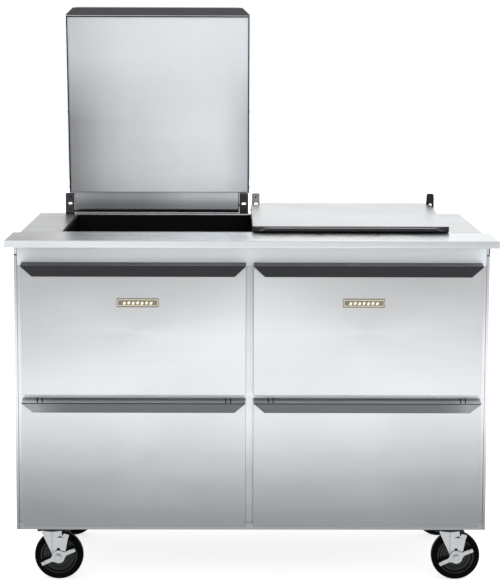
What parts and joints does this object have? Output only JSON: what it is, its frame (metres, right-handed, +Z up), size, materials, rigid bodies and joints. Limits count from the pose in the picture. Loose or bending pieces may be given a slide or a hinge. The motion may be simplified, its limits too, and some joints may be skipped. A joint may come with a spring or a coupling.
{
  "type": "refrigerated sandwich prep table",
  "caption": "Stainless refrigerated prep table: front ledge, pan well under hinged lids, full-width-pull drawers on slides, swivel casters with brakes.",
  "frame": {"origin": "centre of the bounding box, on the floor under the wheels", "axes": "+Z up, front of the table towards -Y, +X to the right of someone facing the front"},
  "size_m": [1.2192, 0.776, 1.4638],
  "materials": {
    "stainless": "brushed, horizontal grain",
    "satin": "satin",
    "grip": "dark grey, low sheen",
    "liner_black": "black moulded",
    "seal": "black seal",
    "zinc": "zinc plated",
    "wheel": "black solid tyre and hub",
    "fin": "finned coil",
    "enamel": "black enamel",
    "badge": "blank name plate"
  },
  "bodies": {
    "cabinet": {"front_shelf": "stainless", "worktop_deck": "stainless", "pan_well": "liner_black", "pan_divider_bar": "liner_black", "side_panel_left": "stainless", "side_panel_right": "stainless", "cabinet_floor": "stainless", "face_frame": "stainless", "back_panel": "stainless", "rear_bulkhead": "satin", "slide_rack_left": "zinc", "slide_rack_right": "zinc", "slide_rack_center": "zinc", "compressor": "enamel", "condenser_unit": "fin", "evaporator_coil": "fin", "power_inlet": "liner_black", "bracket_left_outer": "zinc", "bracket_left_inner": "zinc", "bracket_right_inner": "zinc", "bracket_right_outer": "zinc", "caster_plate_front_left": "zinc", "caster_plate_front_right": "zinc", "caster_plate_rear_left": "zinc", "caster_plate_rear_right": "zinc"},
    "condenser_fan": {"condenser_fan": "zinc"},
    "lid_left": {"lid_skin_left": "stainless", "lid_liner_left": "satin", "lid_seal_left": "seal", "lid_grip_left": "grip", "lid_rear_rail_left": "seal"},
    "drawer_upper_left": {"drawer_front_upper_left": "stainless", "handle_upper_left": "grip", "drawer_pan_upper_left": "satin", "badge_left": "badge"},
    "drawer_lower_left": {"drawer_front_lower_left": "stainless", "handle_lower_left": "grip", "drawer_pan_lower_left": "satin"},
    "lid_right": {"lid_skin_right": "stainless", "lid_liner_right": "satin", "lid_seal_right": "seal", "lid_grip_right": "grip", "lid_rear_rail_right": "seal"},
    "drawer_upper_right": {"drawer_front_upper_right": "stainless", "handle_upper_right": "grip", "drawer_pan_upper_right": "satin", "badge_right": "badge"},
    "drawer_lower_right": {"drawer_front_lower_right": "stainless", "handle_lower_right": "grip", "drawer_pan_lower_right": "satin"},
    "caster_fork_front_left": {"caster_fork_front_left": "zinc"},
    "caster_wheel_front_left": {"caster_wheel_front_left": "wheel"},
    "brake_lever_front_left": {"brake_lever_front_left": "zinc"},
    "caster_fork_front_right": {"caster_fork_front_right": "zinc"},
    "caster_wheel_front_right": {"caster_wheel_front_right": "wheel"},
    "brake_lever_front_right": {"brake_lever_front_right": "zinc"},
    "caster_fork_rear_left": {"caster_fork_rear_left": "zinc"},
    "caster_wheel_rear_left": {"caster_wheel_rear_left": "wheel"},
    "caster_fork_rear_right": {"caster_fork_rear_right": "zinc"},
    "caster_wheel_rear_right": {"caster_wheel_rear_right": "wheel"}
  },
  "joints": [
    {"name": "condenser_fan_spin", "type": "hinge", "parent": "cabinet", "child": "condenser_fan", "pos_m": [0.31, 0.271, 0.33], "axis": [0, 1, 0], "continuous": true},
    {"name": "lid_left_hinge", "type": "hinge", "parent": "cabinet", "child": "lid_left", "pos_m": [-0.261, 0.367, 0.912], "axis": [-1, 0, 0], "range_deg": [-79, 12]},
    {"name": "drawer_upper_left_slide", "type": "slide", "parent": "cabinet", "child": "drawer_upper_left", "axis": [0, -1, 0], "range_m": [0, 0.38]},
    {"name": "drawer_lower_left_slide", "type": "slide", "parent": "cabinet", "child": "drawer_lower_left", "axis": [0, -1, 0], "range_m": [0, 0.38]},
    {"name": "lid_right_hinge", "type": "hinge", "parent": "cabinet", "child": "lid_right", "pos_m": [0.261, 0.367, 0.912], "axis": [-1, 0, 0], "range_deg": [0, 91]},
    {"name": "drawer_upper_right_slide", "type": "slide", "parent": "cabinet", "child": "drawer_upper_right", "axis": [0, -1, 0], "range_m": [0, 0.38]},
    {"name": "drawer_lower_right_slide", "type": "slide", "parent": "cabinet", "child": "drawer_lower_right", "axis": [0, -1, 0], "range_m": [0, 0.38]},
    {"name": "caster_front_left_swivel", "type": "hinge", "parent": "cabinet", "child": "caster_fork_front_left", "pos_m": [-0.51, -0.243, 0.136], "axis": [0, 0, 1], "continuous": true},
    {"name": "caster_front_left_roll", "type": "hinge", "parent": "caster_fork_front_left", "child": "caster_wheel_front_left", "pos_m": [-0.493, -0.243, 0.0625], "axis": [0, 1, 0], "continuous": true},
    {"name": "brake_front_left_press", "type": "hinge", "parent": "caster_fork_front_left", "child": "brake_lever_front_left", "pos_m": [-0.493, -0.272, 0.0625], "axis": [0, 1, 0], "range_deg": [0, 22]},
    {"name": "caster_front_right_swivel", "type": "hinge", "parent": "cabinet", "child": "caster_fork_front_right", "pos_m": [0.51, -0.243, 0.136], "axis": [0, 0, 1], "continuous": true},
    {"name": "caster_front_right_roll", "type": "hinge", "parent": "caster_fork_front_right", "child": "caster_wheel_front_right", "pos_m": [0.527, -0.243, 0.0625], "axis": [0, 1, 0], "continuous": true},
    {"name": "brake_front_right_press", "type": "hinge", "parent": "caster_fork_front_right", "child": "brake_lever_front_right", "pos_m": [0.527, -0.272, 0.0625], "axis": [0, 1, 0], "range_deg": [0, 22]},
    {"name": "caster_rear_left_swivel", "type": "hinge", "parent": "cabinet", "child": "caster_fork_rear_left", "pos_m": [-0.51, 0.217, 0.136], "axis": [0, 0, 1], "continuous": true},
    {"name": "caster_rear_left_roll", "type": "hinge", "parent": "caster_fork_rear_left", "child": "caster_wheel_rear_left", "pos_m": [-0.493, 0.217, 0.0625], "axis": [0, 1, 0], "continuous": true},
    {"name": "caster_rear_right_swivel", "type": "hinge", "parent": "cabinet", "child": "caster_fork_rear_right", "pos_m": [0.51, 0.217, 0.136], "axis": [0, 0, 1], "continuous": true},
    {"name": "caster_rear_right_roll", "type": "hinge", "parent": "caster_fork_rear_right", "child": "caster_wheel_rear_right", "pos_m": [0.527, 0.217, 0.0625], "axis": [0, 1, 0], "continuous": true}
  ]
}
